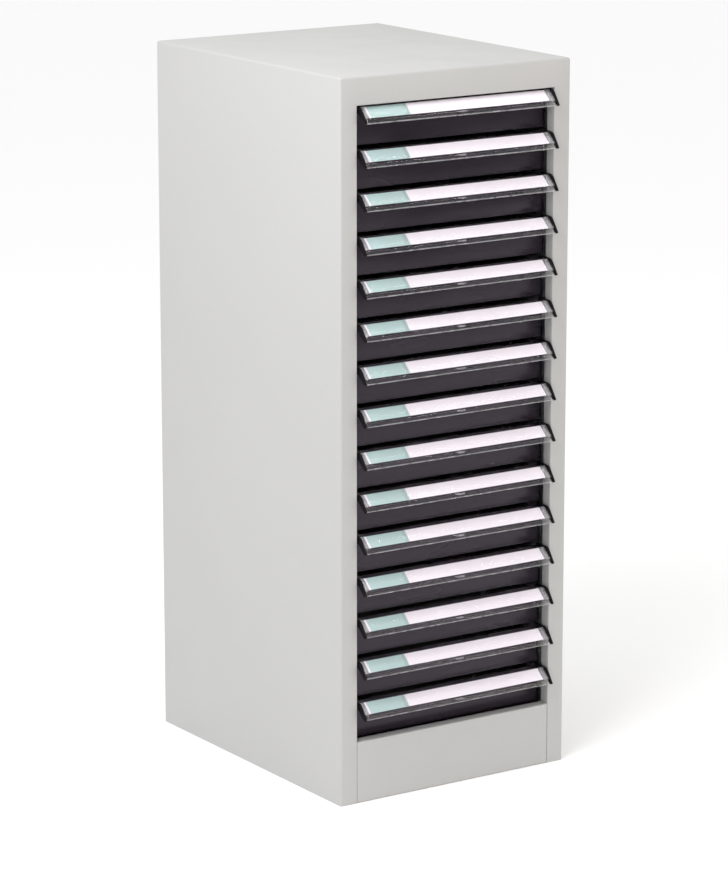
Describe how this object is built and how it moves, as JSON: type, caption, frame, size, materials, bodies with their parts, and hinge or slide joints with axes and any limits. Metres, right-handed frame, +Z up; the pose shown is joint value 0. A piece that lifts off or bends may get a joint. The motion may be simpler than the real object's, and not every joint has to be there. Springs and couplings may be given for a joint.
{
  "type": "multi-drawer cabinet",
  "caption": "Narrow upright steel cabinet with a stack of shallow moulded paper trays, each with a clear label hood as its pull.",
  "frame": {"origin": "centre of the casing's footprint, on the surface that it stands on", "axes": "+Z up, -Y out of the front towards the user, +X to the user's right"},
  "size_m": [0.28, 0.3624, 0.745],
  "materials": {
    "powder_coat": "satin light grey powder coat",
    "zinc_steel": "zinc-plated sheet, satin",
    "tray_plastic": "glossy moulded black",
    "clear_plastic": "clear, glossy",
    "label_card": "matt printed card"
  },
  "bodies": {
    "casing": {"casing": "powder_coat", "back_panel": "powder_coat", "base_panel": "powder_coat", "plinth_panel": "powder_coat", "left_front_upright": "zinc_steel", "left_rear_upright": "zinc_steel", "right_front_upright": "zinc_steel", "right_rear_upright": "zinc_steel", "left_runners": "zinc_steel", "right_runners": "zinc_steel"},
    "drawer_01": {"drawer_01_tray": "tray_plastic", "drawer_01_label_holder": "clear_plastic", "drawer_01_label": "label_card"},
    "drawer_02": {"drawer_02_tray": "tray_plastic", "drawer_02_label_holder": "clear_plastic", "drawer_02_label": "label_card"},
    "drawer_03": {"drawer_03_tray": "tray_plastic", "drawer_03_label_holder": "clear_plastic", "drawer_03_label": "label_card"},
    "drawer_04": {"drawer_04_tray": "tray_plastic", "drawer_04_label_holder": "clear_plastic", "drawer_04_label": "label_card"},
    "drawer_05": {"drawer_05_tray": "tray_plastic", "drawer_05_label_holder": "clear_plastic", "drawer_05_label": "label_card"},
    "drawer_06": {"drawer_06_tray": "tray_plastic", "drawer_06_label_holder": "clear_plastic", "drawer_06_label": "label_card"},
    "drawer_07": {"drawer_07_tray": "tray_plastic", "drawer_07_label_holder": "clear_plastic", "drawer_07_label": "label_card"},
    "drawer_08": {"drawer_08_tray": "tray_plastic", "drawer_08_label_holder": "clear_plastic", "drawer_08_label": "label_card"},
    "drawer_09": {"drawer_09_tray": "tray_plastic", "drawer_09_label_holder": "clear_plastic", "drawer_09_label": "label_card"},
    "drawer_10": {"drawer_10_tray": "tray_plastic", "drawer_10_label_holder": "clear_plastic", "drawer_10_label": "label_card"},
    "drawer_11": {"drawer_11_tray": "tray_plastic", "drawer_11_label_holder": "clear_plastic", "drawer_11_label": "label_card"},
    "drawer_12": {"drawer_12_tray": "tray_plastic", "drawer_12_label_holder": "clear_plastic", "drawer_12_label": "label_card"},
    "drawer_13": {"drawer_13_tray": "tray_plastic", "drawer_13_label_holder": "clear_plastic", "drawer_13_label": "label_card"},
    "drawer_14": {"drawer_14_tray": "tray_plastic", "drawer_14_label_holder": "clear_plastic", "drawer_14_label": "label_card"},
    "drawer_15": {"drawer_15_tray": "tray_plastic", "drawer_15_label_holder": "clear_plastic", "drawer_15_label": "label_card"}
  },
  "joints": [
    {"name": "drawer_01_slide", "type": "slide", "parent": "casing", "child": "drawer_01", "axis": [0, -1, 0], "range_m": [0, 0.25]},
    {"name": "drawer_02_slide", "type": "slide", "parent": "casing", "child": "drawer_02", "axis": [0, -1, 0], "range_m": [0, 0.25]},
    {"name": "drawer_03_slide", "type": "slide", "parent": "casing", "child": "drawer_03", "axis": [0, -1, 0], "range_m": [0, 0.25]},
    {"name": "drawer_04_slide", "type": "slide", "parent": "casing", "child": "drawer_04", "axis": [0, -1, 0], "range_m": [0, 0.25]},
    {"name": "drawer_05_slide", "type": "slide", "parent": "casing", "child": "drawer_05", "axis": [0, -1, 0], "range_m": [0, 0.25]},
    {"name": "drawer_06_slide", "type": "slide", "parent": "casing", "child": "drawer_06", "axis": [0, -1, 0], "range_m": [0, 0.25]},
    {"name": "drawer_07_slide", "type": "slide", "parent": "casing", "child": "drawer_07", "axis": [0, -1, 0], "range_m": [0, 0.25]},
    {"name": "drawer_08_slide", "type": "slide", "parent": "casing", "child": "drawer_08", "axis": [0, -1, 0], "range_m": [0, 0.25]},
    {"name": "drawer_09_slide", "type": "slide", "parent": "casing", "child": "drawer_09", "axis": [0, -1, 0], "range_m": [0, 0.25]},
    {"name": "drawer_10_slide", "type": "slide", "parent": "casing", "child": "drawer_10", "axis": [0, -1, 0], "range_m": [0, 0.25]},
    {"name": "drawer_11_slide", "type": "slide", "parent": "casing", "child": "drawer_11", "axis": [0, -1, 0], "range_m": [0, 0.25]},
    {"name": "drawer_12_slide", "type": "slide", "parent": "casing", "child": "drawer_12", "axis": [0, -1, 0], "range_m": [0, 0.25]},
    {"name": "drawer_13_slide", "type": "slide", "parent": "casing", "child": "drawer_13", "axis": [0, -1, 0], "range_m": [0, 0.25]},
    {"name": "drawer_14_slide", "type": "slide", "parent": "casing", "child": "drawer_14", "axis": [0, -1, 0], "range_m": [0, 0.25]},
    {"name": "drawer_15_slide", "type": "slide", "parent": "casing", "child": "drawer_15", "axis": [0, -1, 0], "range_m": [0, 0.25]}
  ]
}
